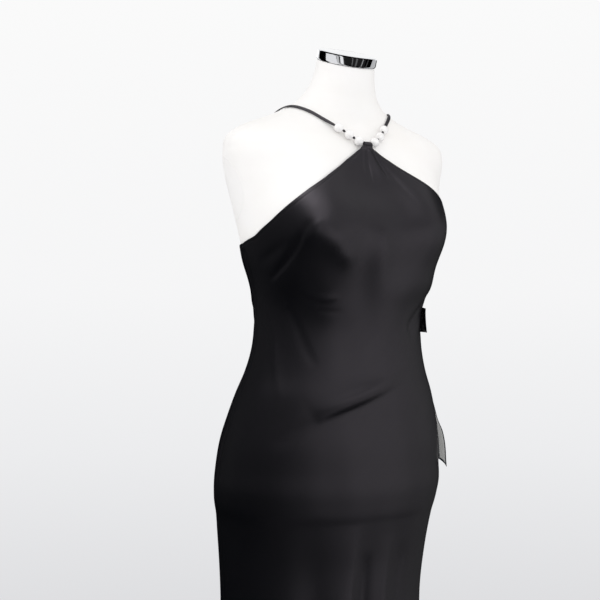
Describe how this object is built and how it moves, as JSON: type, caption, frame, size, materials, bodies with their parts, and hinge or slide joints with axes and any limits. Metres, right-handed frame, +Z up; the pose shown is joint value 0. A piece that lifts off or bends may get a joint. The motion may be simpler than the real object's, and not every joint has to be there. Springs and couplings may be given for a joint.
{
  "type": "halter gown on a dress form",
  "caption": "Long black satin halter gown with a beaded neck cord, thin straps and an open back, on a white armless dress form with a chrome neck cap, pole and round base.",
  "frame": {"origin": "middle of the whole outline, on the floor under the base", "axes": "+Z up, -Y out of the gown's front, +X to the wearer's left"},
  "size_m": [0.4514, 0.3985, 1.5718],
  "materials": {
    "satin": "black bias-cut satin with a soft sheen",
    "pearl": "white pearl bead",
    "form_cover": "white smooth cover of the dress form",
    "chrome": "polished chrome"
  },
  "bodies": {
    "root": {"front_panel": "satin", "back_panel": "satin", "neck_casing": "satin", "halter_strap": "satin", "tie_short_end": "satin", "tie_long_end": "satin", "bead_right_outer": "pearl", "bead_right_middle": "pearl", "bead_right_inner": "pearl", "bead_left_inner": "pearl", "bead_left_middle": "pearl", "bead_left_outer": "pearl", "form_body": "form_cover", "neck_cap": "chrome", "stand_pole": "chrome", "stand_flange": "chrome", "stand_collar": "chrome", "stand_base": "chrome"}
  },
  "joints": []
}
